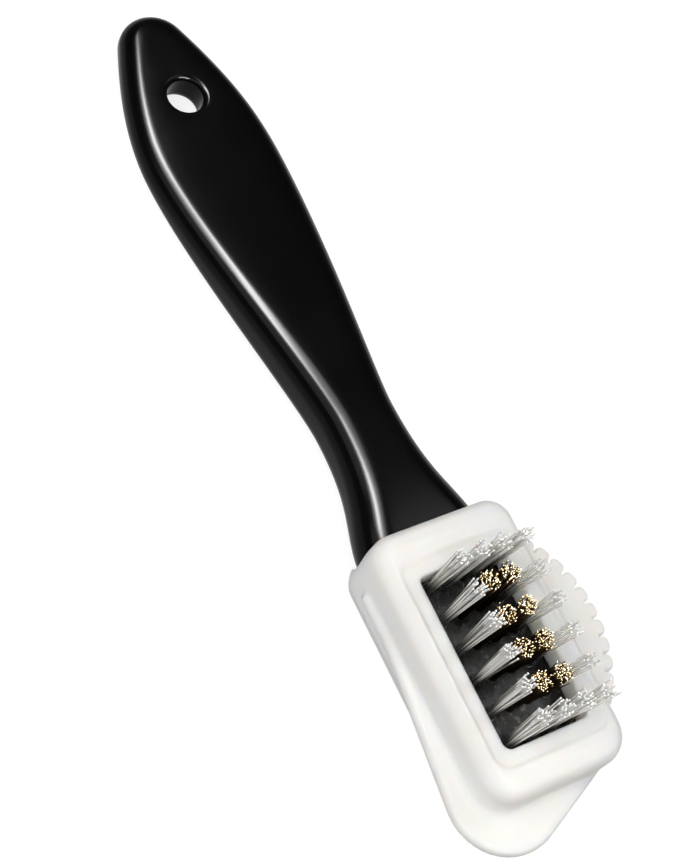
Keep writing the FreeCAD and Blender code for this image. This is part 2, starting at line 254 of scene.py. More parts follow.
nose_centre = Vector((TAIL_X + NOSE_RADIUS, 0, 0))
nose_out = Vector((-math.sin(NOSE_TAPER), math.cos(NOSE_TAPER), 0))
nose_along = Vector((math.cos(NOSE_TAPER), math.sin(NOSE_TAPER), 0))
nose = nose_centre + nose_out * NOSE_RADIUS
palm = Vector((PALM_X, PALM_HALF, 0))
waist = Vector((WAIST_X, WAIST_HALF, 0))
neck_end = Vector((MOUTH_X + NECK_INSIDE, BLOCK_HALF, 0))
REACH_AFTER_NOSE, REACH_BEFORE_PALM = 0.32, 0.37
REACH_AFTER_PALM, REACH_BEFORE_WAIST = 0.3, 0.14
REACH_AFTER_WAIST, REACH_BEFORE_BLOCK = 0.58, 0.36


def stretch(start, heading, end, reach_start, reach_end):
    """One Bezier stretch of the outline, level at its end; its handles reach shares of its length."""
    length = end.x - start.x
    forward = heading * (length * reach_start)
    back = Vector((-length * reach_end, 0, 0))
    return interpolate_bezier(start, start + forward, end + back, end, STRETCH_POINTS)


side = stretch(nose, nose_along, palm, REACH_AFTER_NOSE, REACH_BEFORE_PALM)
side += stretch(palm, ALONG_X, waist, REACH_AFTER_PALM, REACH_BEFORE_WAIST)[1:]
side += stretch(waist, ALONG_X, neck_end, REACH_AFTER_WAIST, REACH_BEFORE_BLOCK)[1:]
print("handle outline points on each side:", len(side))

# %% [markdown]
# From the side, the handle is thin at the tail and thickens along two gentle curves to the neck: the
# back lifts off the table and the face rises more. These two curves are read by distance along the brush.

# %% Handle side profile
HANG_HOLE_X = TAIL_X + 18.8 * MM
TAIL_FLAT_X = HANG_HOLE_X + 7.5 * MM
TAIL_THICKNESS = 7.2 * MM
NECK_BACK = 2.4 * MM
PROFILE_POINTS = 200
BACK_REACHES, FACE_REACHES = (0.35, 0.4), (0.21, 0.53)
rise = MOUTH_X - TAIL_FLAT_X


def profile_curve(tail_z, mouth_z, reaches):
    """One curve of the side profile, level at both ends; its handles reach shares of its length."""
    after_tail, before_mouth = reaches
    return interpolate_bezier(
        Vector((TAIL_FLAT_X, 0, tail_z)), Vector((TAIL_FLAT_X + after_tail * rise, 0, tail_z)),
        Vector((MOUTH_X - before_mouth * rise, 0, mouth_z)), Vector((MOUTH_X, 0, mouth_z)), PROFILE_POINTS)


def height_on(curve, x):
    """The height of a side profile curve at one place along the brush."""
    return float(np.interp(x, [p.x for p in curve], [p.z for p in curve]))


back_curve = profile_curve(0, NECK_BACK, BACK_REACHES)
face_curve = profile_curve(TAIL_THICKNESS, BLOCK_TOP, FACE_REACHES)
neck = height_on(face_curve, MOUTH_X) - height_on(back_curve, MOUTH_X)
print("neck thickness in mm:", round(neck / MM, 2))

# %% [markdown]
# The blank starts as a grid a few quads wide. Each rung is moved to its place on the outline, and the
# nose is spun about its centre so that its rungs stay square to the rim. Every point keeps its share of
# the way from the middle to the rim, which later gives both faces a low crown.

# %% Handle sheet
ROUND_STOPS_X = [TAIL_X, PALM_X, WAIST_X, MOUTH_X]
ROUND_STOPS = [2.9 * MM, 3.2 * MM, 3.4 * MM, 4.9 * MM]
ROUND_CLEAR = 1.2
NOSE_STEPS = 18
NOSE_BEND_LENGTH = 10.0 * MM
HALF_COLUMNS = 4
FACE_CROWN = 0.35 * MM
BACK_CROWN = 0.25 * MM
CROWN_POWER = 4
TINY = 0.001 * MM


def rounding_at(x):
    """The rounding of the handle's long edges at one place along the brush."""
    return float(np.interp(x, ROUND_STOPS_X, ROUND_STOPS))


blank = bmesh.new()
rim_share = blank.verts.layers.float.new("rim_share")
rung_number = blank.verts.layers.int.new("rung_number")
bmesh.ops.create_grid(blank, x_segments=len(side) - 1, y_segments=2 * HALF_COLUMNS, size=0.5)
nose_bend = nose_centre.x - nose.x
first_rung = []
for vert in blank.verts:
    number = round((vert.co.x + 0.5) * (len(side) - 1))
    rung = side[number]
    vert[rung_number] = number
    column = round(vert.co.y * 2 * HALF_COLUMNS)
    inner = (rung.y - ROUND_CLEAR * rounding_at(rung.x)) * column / (HALF_COLUMNS - 1)
    y = inner if abs(column) < HALF_COLUMNS else math.copysign(rung.y, column)
    vert[rim_share] = abs(y) / rung.y
    bend = nose_bend * max(0.0, 1 - (rung.x - nose.x) / NOSE_BEND_LENGTH) ** 2
    vert.co = (rung.x + bend * (1 - vert[rim_share]), y, 0)
    if number == 0 and column >= 0:
        first_rung.append(vert)
nose_edges = [e for e in blank.edges if all(v in first_rung for v in e.verts)]
bmesh.ops.spin(blank, geom=nose_edges, cent=nose_centre, axis=(0, 0, 1),
               angle=math.pi - 2 * NOSE_TAPER, steps=NOSE_STEPS)
bmesh.ops.remove_doubles(blank, verts=blank.verts, dist=TINY)
print("sheet faces:", len(blank.faces))

# %% [markdown]
# The hang hole goes right through the tail, with both rims rounded. A Boolean could cut it, but its odd
# faces would show in the gloss. Here a square of the sheet is inset, the inset loop is pulled onto a
# circle and the middle is thrown away, so the hole has its own even ring of faces before the sheet gets
# its thickness.

# %% Hang hole
HANG_HOLE_RADIUS = 3.5 * MM
HOLE_CLEAR = 8.0 * MM
FIRST_INSET = 0.2 * MM

hole_centre = Vector((HANG_HOLE_X, 0, 0))
near_hole = {number for number, rung in enumerate(side) if abs(rung.x - HANG_HOLE_X) < HOLE_CLEAR}
patch = [f for f in blank.faces
         if all(v[rung_number] in near_hole and v[rim_share] < 1 - TINY for v in f.verts)]
bmesh.ops.inset_region(blank, faces=patch, thickness=FIRST_INSET, use_even_offset=True)
inside = set(patch)
hole_rim = [v for v in {v for f in patch for v in f.verts} if any(f not in inside for f in v.link_faces)]
hole_rim.sort(key=lambda v: math.atan2(v.co.y, v.co.x - HANG_HOLE_X))
for number, vert in enumerate(hole_rim):
    turn = -math.pi + math.tau * (number + 0.5) / len(hole_rim)
    vert.co = hole_centre + Vector((math.cos(turn), math.sin(turn), 0)) * HANG_HOLE_RADIUS
    vert[rim_share] = 0.0
bmesh.ops.delete(blank, geom=patch, context="FACES")
print("points round the hang hole:", len(hole_rim))

# %% [markdown]
# The sheet is extruded to a slab, and its two skins move to the side profile's curves. A Solidify modifier
# would give one even thickness, but this handle thickens towards its neck.

# %% Handle slab
raised = bmesh.ops.extrude_face_region(blank, geom=blank.faces[:])["geom"]
upper = {v for v in raised if isinstance(v, bmesh.types.BMVert)}
for vert in blank.verts:
    crown = vert[rim_share] ** CROWN_POWER
    if vert in upper:
        vert.co.z = height_on(face_curve, vert.co.x) - FACE_CROWN * crown
    else:
        vert.co.z = height_on(back_curve, vert.co.x) + BACK_CROWN * crown
bmesh.ops.recalc_face_normals(blank, faces=blank.faces)
print("handle slab faces:", len(blank.faces))

# %% [markdown]
# A bevel with many segments rounds the slab's long edges as the mould does. The rounding is fuller at
# the neck than at the palm, so the Bevel modifier is used: it scales its width by each edge's own weight,
# which the bmesh operator can't do.

# %% Rounded edges
EDGE_SEGMENTS = 12
SHARP_ANGLE = math.radians(40)
FULL_ROUND = max(ROUND_STOPS)
FACE_RIM_ROUND = 1.0 * MM
BACK_RIM_ROUND = 2.4 * MM


def is_long_edge(edge):
    """True on the sharp upper and lower edges of the slab, but not on its end inside the sleeve."""
    on_one_skin = (edge.verts[0] in upper) == (edge.verts[1] in upper)
    sharp = edge.calc_face_angle(0) > SHARP_ANGLE
    at_end = min(v.co.x for v in edge.verts) > neck_end.x - TINY
    return on_one_skin and sharp and not at_end


weight = blank.edges.layers.float.new("bevel_weight_edge")
for edge in blank.edges:
    if not is_long_edge(edge):
        continue
    middle = (edge.verts[0].co + edge.verts[1].co) / 2
    width = rounding_at(middle.x)
    if math.hypot(middle.x - HANG_HOLE_X, middle.y) < HANG_HOLE_RADIUS + TINY:
        width = FACE_RIM_ROUND if edge.verts[0] in upper else BACK_RIM_ROUND
    edge[weight] = width / FULL_ROUND
handle = add_object("handle_paddle", blank)
rounding = handle.modifiers.new("rounding", "BEVEL")
rounding.limit_method = "WEIGHT"
rounding.width = FULL_ROUND
rounding.segments = EDGE_SEGMENTS
rounding.profile = 0.5
rounding.use_clamp_overlap = False
handle.data.shade_smooth()
print("handle rounding in mm:", [round(value / MM, 1) for value in ROUND_STOPS])

# %% [markdown]
# The plastic is nearly black with a high gloss. A flat black would look painted, so large soft noise
# shifts its colour and roughness a little, and a very fine bump breaks the mirror as moulding does.

# %% Handle finish
CLOUD_SCALE, CLOUD_DETAIL = 60, 3
PORE_SCALE, PORE_DETAIL = 900, 2
PORE_STRENGTH, PORE_DEPTH = 0.02, 0.02 * MM
BLACK_COLOURS = [(0.3, (0.001, 0.001, 0.0011)), (0.7, (0.002, 0.002, 0.0022))]
GLOSS_ROUGHNESS = (0.15, 0.175)
GLOSS_IOR, GLOSS_SHINE = 1.5, 0.07


def noise_on_object(add, link, scale, detail):
    """A noise texture on Object coordinates, which stay put on the piece."""
    place = add("ShaderNodeTexCoord")
    noise = add("ShaderNodeTexNoise")
    noise.inputs["Scale"].default_value = scale
    noise.inputs["Detail"].default_value = detail
    link(place.outputs["Object"], noise.inputs["Vector"])
    return noise.outputs["Fac"]


def spread(add, link, factor, low, high):
    """A 0 to 1 factor spread between two values."""
    node = add("ShaderNodeMapRange")
    node.inputs["To Min"].default_value = low
    node.inputs["To Max"].default_value = high
    link(factor, node.inputs["Value"])
    return node.outputs["Result"]


def bump(add, link, height, strength, distance):
    """A bump from a height factor."""
    node = add("ShaderNodeBump")
    node.inputs["Strength"].default_value = strength
    node.inputs["Distance"].default_value = distance
    link(height, node.inputs["Height"])
    return node.outputs["Normal"]


black_gloss, add, link = new_material("black_gloss_plastic")
gloss = add("ShaderNodeBsdfPrincipled")
clouds = noise_on_object(add, link, CLOUD_SCALE, CLOUD_DETAIL)
link(ramp(add, link, clouds, BLACK_COLOURS), gloss.inputs["Base Color"])
link(spread(add, link, clouds, *GLOSS_ROUGHNESS), gloss.inputs["Roughness"])
pores = noise_on_object(add, link, PORE_SCALE, PORE_DETAIL)
link(bump(add, link, pores, PORE_STRENGTH, PORE_DEPTH), gloss.inputs["Normal"])
gloss.inputs["IOR"].default_value = GLOSS_IOR
gloss.inputs["Specular IOR Level"].default_value = GLOSS_SHINE
show(add, link, gloss)
handle.data.materials.append(black_gloss)
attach(handle, "root")
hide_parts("handle")
print("handle finish:", black_gloss.name)

# %% [markdown]
# Inside the sleeve the handle swells into the bristle block. Only its top shows, through the window:
# a black floor drilled for the tufts, with a low burr round every hole and two faint ejector marks.
# The block is a bevelled box, and each ring is a small torus made by spinning a circle. Its plastic is
# the handle's, but rough and grey with dust, and fine grit in its bump catches the light.

# %% Bristle block
TUFT_ROWS, TUFT_COLUMNS = 6, 4
ROW_PITCH = 5.8 * MM
COLUMN_PITCH = 3.85 * MM
HOLE_RADIUS = 1.15 * MM
BLOCK_REAR_X = MOUTH_X + 2.0 * MM
BLOCK_BOTTOM = 2.4 * MM
BLOCK_CORNER = 3.0 * MM
BLOCK_CORNER_SEGMENTS = 6
RING_SIDES, RING_STEPS = 6, 24
BURR_THICKNESS = 0.2 * MM
MARK_RADIUS = 1.1 * MM
MARK_THICKNESS = 0.06 * MM
MARK_PLACES = [(-13.2 * MM, 0.0), (12.05 * MM, 0.2 * MM)]
DUST_SCALE, DUST_DETAIL = 420, 8
DUST_COLOURS = [(0.4, (0.005, 0.005, 0.005)), (0.6, (0.026, 0.025, 0.023)), (0.68, (0.16, 0.15, 0.135))]
DUST_ROUGHNESS = (0.15, 0.42)
DUST_SHINE = 0.2
GRIT_SCALE, GRIT_DETAIL = 1400, 3
GRIT_STRENGTH, GRIT_DEPTH = 0.3, 0.05 * MM


def hole_place(row, column):
    """The centre of a tuft hole on the block's floor, counted from the handle and the plain side."""
    x = (row - (TUFT_ROWS - 1) / 2) * ROW_PITCH
    y = (column - (TUFT_COLUMNS - 1) / 2) * COLUMN_PITCH
    return Vector((x, y, BLOCK_TOP))


def add_ring(shape, centre, radius, thickness):
    """A thin ring half sunk in the floor: a small circle spun round the ring's centre."""
    loop = bmesh.ops.create_circle(shape, segments=RING_SIDES, radius=thickness)["verts"]
    bmesh.ops.rotate(shape, verts=loop, cent=(0, 0, 0), matrix=Matrix.Rotation(math.pi / 2, 3, "X"))
    bmesh.ops.translate(shape, verts=loop, vec=centre + Vector((radius, 0, 0)))
    edges = list({e for v in loop for e in v.link_edges})
    bmesh.ops.spin(shape, geom=loop + edges, cent=centre, axis=(0, 0, 1), angle=math.tau, steps=RING_STEPS,
                   use_merge=True)


block_shape = bmesh.new()
bmesh.ops.create_cube(block_shape, size=1.0)
size = Vector((BLOCK_TIP_X - BLOCK_REAR_X, 2 * BLOCK_HALF, BLOCK_TOP - BLOCK_BOTTOM))
middle = Vector(((BLOCK_TIP_X + BLOCK_REAR_X) / 2, 0, (BLOCK_TOP + BLOCK_BOTTOM) / 2))
bmesh.ops.scale(block_shape, verts=block_shape.verts, vec=size)
bmesh.ops.translate(block_shape, verts=block_shape.verts, vec=middle)
upright = [e for e in block_shape.edges if abs(e.verts[0].co.z - e.verts[1].co.z) > TINY]
bmesh.ops.bevel(block_shape, geom=upright, offset=BLOCK_CORNER, offset_type="OFFSET",
                segments=BLOCK_CORNER_SEGMENTS, profile=0.5, affect="EDGES", material=-1)
for row in range(TUFT_ROWS):
    for column in range(TUFT_COLUMNS):
        add_ring(block_shape, hole_place(row, column), HOLE_RADIUS, BURR_THICKNESS)
for x, y in MARK_PLACES:
    add_ring(block_shape, Vector((x, y, BLOCK_TOP)), MARK_RADIUS, MARK_THICKNESS)
bmesh.ops.recalc_face_normals(block_shape, faces=block_shape.faces)
block = add_object("bristle_block", block_shape)
block.data.shade_smooth()
block.modifiers.new("even_shade", "WEIGHTED_NORMAL")
worn_black, add, link = new_material("dusty_black_plastic")
dusty = add("ShaderNodeBsdfPrincipled")
dust = noise_on_object(add, link, DUST_SCALE, DUST_DETAIL)
link(ramp(add, link, dust, DUST_COLOURS), dusty.inputs["Base Color"])
link(spread(add, link, dust, *DUST_ROUGHNESS), dusty.inputs["Roughness"])
dusty.inputs["Specular IOR Level"].default_value = DUST_SHINE
grit = noise_on_object(add, link, GRIT_SCALE, GRIT_DETAIL)
link(bump(add, link, grit, GRIT_STRENGTH, GRIT_DEPTH), dusty.inputs["Normal"])
show(add, link, dusty)
block.data.materials.append(worn_black)
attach(block, "root")
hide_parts("handle")
print("block faces:", len(block.data.polygons))

# %% [markdown]
# The sleeve is one soft rubber moulding. A flange runs round its waist: a smooth wing on the plain side
# and the tip, and an arc of rounded teeth on the other side, both for brushing edges. The wing is a flat
# outline whose far corner is an arc spun from one point, and the toothed arc is a slice of a disc with a
# square tab for each tooth, whose outer corners are bevelled round. The sleeve's sections come later and
# are worked out in millimetres, so their sizes are written without MM.

# %% Sleeve flanges
WINDOW_X, WINDOW_Y = 16.05, 8.675
SIDE_RIM, TIP_RIM, REAR_RIM = 5.4, 8.3, 9.2
OUTER_CORNER = 5.6
FLANGE_TOP, FLANGE_THICKNESS = 9.5 * MM, 2.8 * MM
FLANGE_BOTTOM = FLANGE_TOP - FLANGE_THICKNESS
SLEEVE_HALF = (WINDOW_Y + SIDE_RIM) * MM
SLEEVE_TIP_X = (WINDOW_X + TIP_RIM) * MM
LEDGE = 0.7 * MM
WING_START_X = MOUTH_X + 15.2 * MM
WING_CORNER = Vector((SLEEVE_TIP_X + 14.2 * MM, -SLEEVE_HALF - 6.1 * MM, FLANGE_BOTTOM))
WING_END = Vector((SLEEVE_TIP_X, SLEEVE_HALF - 3.6 * MM, FLANGE_BOTTOM))
WING_ROUND = 10.5 * MM
WING_EDGE_ROUND = 1.0 * MM
WING_ARC_STEPS = 20
WING_EDGE_SEGMENTS, TOOTH_EDGE_SEGMENTS = 4, 3
TOOTH_COUNT = 11
TOOTH_HALF = 1.43 * MM
TOOTH_CORNER = 0.95 * MM
TOOTH_CORNER_SEGMENTS = 6
TOOTH_EDGE_ROUND = 0.5 * MM
TOOTH_ARC_RADIUS = 24.5 * MM
TOOTH_PITCH = 3.4 * MM
TOOTH_REACH = 11.09 * MM
TOOTH_NOTCH_DEPTH = 1.65 * MM
TOOTH_ARC_OFFSET = -1.6 * MM
PLATE_RADIUS = TOOTH_ARC_RADIUS - TOOTH_NOTCH_DEPTH
PLATE_SIDES = 160
PLATE_START_Y = SLEEVE_HALF - 1.3 * MM
TOOTH_CENTRE = Vector((TOOTH_ARC_OFFSET, SLEEVE_HALF + TOOTH_REACH - TOOTH_ARC_RADIUS, FLANGE_BOTTOM))


def raise_flange(shape, edge_round, segments):
    """Extrudes a flat outline to the flange's thickness and rounds its upper and lower rims."""
    top = bmesh.ops.extrude_face_region(shape, geom=shape.faces[:])["geom"]
    verts = [g for g in top if isinstance(g, bmesh.types.BMVert)]
    bmesh.ops.translate(shape, verts=verts, vec=(0, 0, FLANGE_THICKNESS))
    bmesh.ops.recalc_face_normals(shape, faces=shape.faces)
    rims = [e for e in shape.edges if abs(e.verts[0].co.z - e.verts[1].co.z) < TINY]
    bmesh.ops.bevel(shape, geom=rims, offset=edge_round, offset_type="OFFSET", segments=segments,
                    profile=0.5, affect="EDGES", material=-1)


wing_start = Vector((WING_START_X, -SLEEVE_HALF - LEDGE, FLANGE_BOTTOM))
to_start = (wing_start - WING_CORNER).normalized()
to_end = (WING_END - WING_CORNER).normalized()
half_angle = to_start.angle(to_end) / 2
arc_start = WING_CORNER + to_start * (WING_ROUND / math.tan(half_angle))
arc_centre = WING_CORNER + (to_start + to_end).normalized() * (WING_ROUND / math.sin(half_angle))
wing_shape = bmesh.new()
arc_vert = wing_shape.verts.new(arc_start)
bmesh.ops.spin(wing_shape, geom=[arc_vert], cent=arc_centre, axis=(0, 0, 1),
               angle=math.pi - 2 * half_angle, steps=WING_ARC_STEPS)
corners = [arc_start, wing_start,
           Vector((MOUTH_X + OUTER_CORNER * MM + 2 * LEDGE, -SLEEVE_HALF - LEDGE, FLANGE_BOTTOM)),
           Vector((MOUTH_X + OUTER_CORNER * MM, -SLEEVE_HALF + LEDGE, FLANGE_BOTTOM)),
           Vector((0, 0, FLANGE_BOTTOM)), WING_END,
           WING_CORNER + to_end * (WING_ROUND / math.tan(half_angle))]
path = [wing_shape.verts.new(corner) for corner in corners]
for pair in zip(path, path[1:]):
    wing_shape.edges.new(pair)
bmesh.ops.remove_doubles(wing_shape, verts=wing_shape.verts, dist=TINY)
bmesh.ops.edgeloop_fill(wing_shape, edges=wing_shape.edges)
raise_flange(wing_shape, WING_EDGE_ROUND, WING_EDGE_SEGMENTS)

plate_shape = bmesh.new()
bmesh.ops.create_circle(plate_shape, cap_ends=True, segments=PLATE_SIDES, radius=PLATE_RADIUS)
bmesh.ops.translate(plate_shape, verts=plate_shape.verts, vec=TOOTH_CENTRE)
everything = plate_shape.verts[:] + plate_shape.edges[:] + plate_shape.faces[:]
bmesh.ops.bisect_plane(plate_shape, geom=everything, plane_co=(0, PLATE_START_Y, 0), plane_no=(0, -1, 0),
                       clear_outer=True)
raise_flange(plate_shape, TOOTH_EDGE_ROUND, TOOTH_EDGE_SEGMENTS)

teeth = []
for number in range(TOOTH_COUNT):
    angle = (number - (TOOTH_COUNT - 1) / 2) * TOOTH_PITCH / TOOTH_ARC_RADIUS
    tooth = bmesh.new()
    bmesh.ops.create_grid(tooth, x_segments=1, y_segments=1, size=TOOTH_HALF)
    outer = [v for v in tooth.verts if v.co.y > 0]
    bmesh.ops.bevel(tooth, geom=outer, offset=TOOTH_CORNER, offset_type="OFFSET",
                    segments=TOOTH_CORNER_SEGMENTS, profile=0.5, affect="VERTICES", material=-1)
    bmesh.ops.translate(tooth, verts=tooth.verts, vec=(0, TOOTH_ARC_RADIUS - TOOTH_HALF, 0))
    bmesh.ops.rotate(tooth, verts=tooth.verts, cent=(0, 0, 0), matrix=Matrix.Rotation(-angle, 3, "Z"))
    bmesh.ops.translate(tooth, verts=tooth.verts, vec=TOOTH_CENTRE)
    raise_flange(tooth, TOOTH_EDGE_ROUND, TOOTH_EDGE_SEGMENTS)
    teeth.append(tooth)
print("flange parts:", 2 + len(teeth))

# %% [markdown]
# The frame above and below the flange is a stack of rounded rectangles, one for each line where the
# section turns: pocket, window wall, dished border, step, crest, side, foot and back. At the foot the
# wall curves out to meet the flange, as far as the flange reaches there, which a ray cast measures.

# %% Sleeve sections
from mathutils.bvhtree import BVHTree

CREST_ROUND, BELLY_ROUND = 3.4, 4.6
BORDER_Z, CREST_Z = 18.15, 18.6
BORDER_DISH = 0.35
WINDOW_EDGE_ROUND = 0.4
WINDOW_CORNER = 1.4
REAR_CORNER = 0.78
CORNER_STEPS, SIDE_STEPS = 10, 24
RING_POINTS = 4 * (CORNER_STEPS + SIDE_STEPS)
POCKET_GAP = 0.2
FOOT_RISE = 0.8
FOOT_REACH = 0.35
FOOT_SMOOTHING = 3
FLANGE_TOP_MM = FLANGE_TOP / MM
wing_tree = BVHTree.FromBMesh(wing_shape)
plate_tree = BVHTree.FromBMesh(plate_shape)


def ring_point(index, rear, tip, half, corner):
    """Place and direction of one point of a rounded rectangle, counted round from its tip side."""
    quarter, step = divmod(index, CORNER_STEPS + SIDE_STEPS)
    rear_corner = REAR_CORNER * corner
    corners = [Vector((tip - corner, half - corner, corner)),
               Vector((rear + rear_corner, half - rear_corner, rear_corner)),
               Vector((rear + rear_corner, rear_corner - half, rear_corner)),
               Vector((tip - corner, corner - half, corner))]
    angle = (quarter + min(step, CORNER_STEPS) / CORNER_STEPS) * math.pi / 2
    share = max(0, step - CORNER_STEPS) / SIDE_STEPS
    x, y, radius = corners[quarter].lerp(corners[(quarter + 1) % 4], share)
    out = Vector((math.cos(angle), math.sin(angle), 0))
    return Vector((x, y, 0)) + out * radius, out


def from_window(side, tip, rear):
    """A ring's rear, tip and half width from how far it lies outside the window."""
    return -WINDOW_X - rear, WINDOW_X + tip, WINDOW_Y + side


wall = (*from_window(SIDE_RIM, TIP_RIM, REAR_RIM), OUTER_CORNER)


def flange_width(index):
    """How far the flange stands out from the wall at one point of the ring, in millimetres."""
    place, out = ring_point(index, *wall)
    start = place * MM - out * LEDGE / 2 + Vector((0, 0, FLANGE_TOP - FLANGE_THICKNESS / 2))
    reaches = [tree.ray_cast(start, out)[3] or 0 for tree in (wing_tree, plate_tree)]
    return max(0, max(reaches) / MM - LEDGE / 2 / MM)


foot_width = [min(FOOT_REACH, flange_width(index)) for index in range(RING_POINTS)]
for _ in range(FOOT_SMOOTHING):
    foot_width = [(foot_width[i - 1] + 2 * w + foot_width[(i + 1) % RING_POINTS]) / 4
                  for i, w in enumerate(foot_width)]
print("widest foot in mm:", round(max(foot_width), 2))

# %% [markdown]
# The sections are listed from the inside out, each as its rear, tip, half width, corner, height at the
# ends, height at the sides and share of the foot, and neighbouring rings are bridged into a closed skin.
# A quarter round is a few rings at turns of its circle. The border's rings give their distance from the
# window, their corner and their drop.

# %% Sleeve frame
BORDER_RINGS = [(1.5, 2.2, 0.7 * BORDER_DISH), (2.5, 2.8, BORDER_DISH), (2.75, 3.0, 0.8 * BORDER_DISH)]
STEP_OUT, STEP_CORNER, STEP_DROP, STEP_SIDE_DROP = 3.15, 3.1, 0.06, 0.12
CREST_OUT, CREST_CORNER, CREST_SIDE_DROP = 3.5, 2.6, 0.14
WINDOW_TURNS = (30, 60, 90)
CREST_TURNS = (35, 47, 60, 75, 90)
FOOT_TURNS = (15, 30, 45, 60, 75, 90)
BELLY_TURNS = (0, 30, 60, 90)
BELOW_FLANGE = 1.4


def quarter_round(radius, turns):
    """How far each ring of a quarter round lies in from the two faces that it joins."""
    angles = [math.radians(turn) for turn in turns]
    return [(radius * (1 - math.cos(angle)), radius * (1 - math.sin(angle))) for angle in angles]


block_rear, block_tip, block_half, block_top, block_bottom, block_corner = (
    value / MM for value in (BLOCK_REAR_X, BLOCK_TIP_X, BLOCK_HALF, BLOCK_TOP, BLOCK_BOTTOM, BLOCK_CORNER))
pocket = (block_rear - POCKET_GAP, block_tip + POCKET_GAP, block_half + POCKET_GAP, block_corner + POCKET_GAP)
window = (*from_window(0, 0, 0), WINDOW_CORNER)
sections = [(*pocket, block_bottom), (*pocket, block_top)]
sections += [(*window, block_top), (*window, BORDER_Z - WINDOW_EDGE_ROUND)]
for out, down in quarter_round(WINDOW_EDGE_ROUND, WINDOW_TURNS):
    sections.append((*from_window(out, out, out), WINDOW_CORNER + out, BORDER_Z - down))
for out, corner, down in BORDER_RINGS:
    sections.append((*from_window(out, out, out), corner, BORDER_Z - down))
sections.append((*from_window(STEP_OUT, STEP_OUT, STEP_OUT), STEP_CORNER, CREST_Z - STEP_DROP,
                 CREST_Z - STEP_SIDE_DROP))
sections.append((*from_window(CREST_OUT, TIP_RIM - CREST_ROUND, REAR_RIM - CREST_ROUND), CREST_CORNER,
                 CREST_Z, CREST_Z - CREST_SIDE_DROP))
for down, out in quarter_round(CREST_ROUND, CREST_TURNS):
    sections.append((*from_window(SIDE_RIM - out, TIP_RIM - out, REAR_RIM - out), OUTER_CORNER - out,
                     CREST_Z - down))
for share, climb in quarter_round(1, FOOT_TURNS):
    height = FLANGE_TOP_MM + FOOT_RISE * climb
    sections.append((*wall, height, height, share))
sections.append((*wall, FLANGE_TOP_MM - BELOW_FLANGE))
for out, up in quarter_round(BELLY_ROUND, BELLY_TURNS):
    sections.append((*from_window(SIDE_RIM - out, TIP_RIM - out, REAR_RIM - out), OUTER_CORNER - out, up))


def add_section(shape, rear, tip, half, corner, end_z, side_z=None, foot=0.0):
    """One ring of the sleeve's frame, made from a circle whose points move to a rounded rectangle."""
    ring = bmesh.ops.create_circle(shape, segments=RING_POINTS, radius=1.0)["verts"]
    ring.sort(key=lambda v: math.atan2(v.co.y, v.co.x) % math.tau)
    for index, vert in enumerate(ring):
        place, out = ring_point(index, rear, tip, half, corner)
        place.z = end_z if side_z is None else end_z + (side_z - end_z) * out.y ** 2
        vert.co = (place + out * foot * foot_width[index]) * MM
    return ring


def ring_edges(ring):
    """The edges that join a ring's own points."""
    members = set(ring)
    return list({e for v in ring for e in v.link_edges if e.other_vert(v) in members})


frame_shape = bmesh.new()
rings = [add_section(frame_shape, *section) for section in sections]
loops = [ring_edges(ring) for ring in rings]
for inner, outer in zip(loops, loops[1:]):
    bmesh.ops.bridge_loops(frame_shape, edges=inner + outer)
for loop in (loops[0], loops[-1]):
    bmesh.ops.edgeloop_fill(frame_shape, edges=loop)
bmesh.ops.recalc_face_normals(frame_shape, faces=frame_shape.faces)
sleeve = add_object("sleeve_skin", frame_shape)
print("sleeve frame rings:", len(rings))

# %% [markdown]
# The neck enters the sleeve through a mouth in its rear wall. It is cut here with a box that is rounded
# like the neck and a little wider. A Boolean does no harm, because the next step remeshes every face.

# %% Sleeve mouth
MOUTH_DEPTH = 4.0 * MM
MOUTH_SEGMENTS = 8

mouth_shape = bmesh.new()
bmesh.ops.create_cube(mouth_shape, size=1.0)
gap = POCKET_GAP * MM
mouth_size = Vector((MOUTH_DEPTH, 2 * (BLOCK_HALF + gap), BLOCK_TOP - BLOCK_BOTTOM + 2 * gap))
bmesh.ops.scale(mouth_shape, verts=mouth_shape.verts, vec=mouth_size)
bmesh.ops.translate(mouth_shape, verts=mouth_shape.verts, vec=(MOUTH_X, 0, (BLOCK_TOP + BLOCK_BOTTOM) / 2))
lengthways = [e for e in mouth_shape.edges if abs(e.verts[0].co.x - e.verts[1].co.x) > TINY]
bmesh.ops.bevel(mouth_shape, geom=lengthways, offset=ROUND_STOPS[-1], offset_type="OFFSET",
                segments=MOUTH_SEGMENTS, profile=0.5, affect="EDGES", material=-1)
mouth_cutter = add_object("mouth_cutter", mouth_shape)


def apply_modifiers(made):
    """Keeps an object's evaluated mesh as its own plain mesh."""
    shaped = bpy.data.meshes.new_from_object(made.evaluated_get(bpy.context.evaluated_depsgraph_get()))
    made.modifiers.clear()
    made.data = shaped


cut = sleeve.modifiers.new("mouth", "BOOLEAN")
cut.operation = "DIFFERENCE"
cut.solver = "EXACT"
cut.object = mouth_cutter
apply_modifiers(sleeve)
bpy.data.objects.remove(mouth_cutter)
print("sleeve faces with its mouth:", len(sleeve.data.polygons))

# %% [markdown]
# Frame and wing are joined, and a voxel remesh turns them into one skin, as if poured in one mould. A
# little smoothing then softens every edge, as on real rubber. The toothed arc is poured the same way, but
# with smaller voxels, because its notches are narrow.

# %% Rubber skins
SLEEVE_VOXEL, TOOTH_VOXEL = 0.32 * MM, 0.16 * MM
SKIN_SMOOTHING, SKIN_SOFTNESS = 2, 0.5


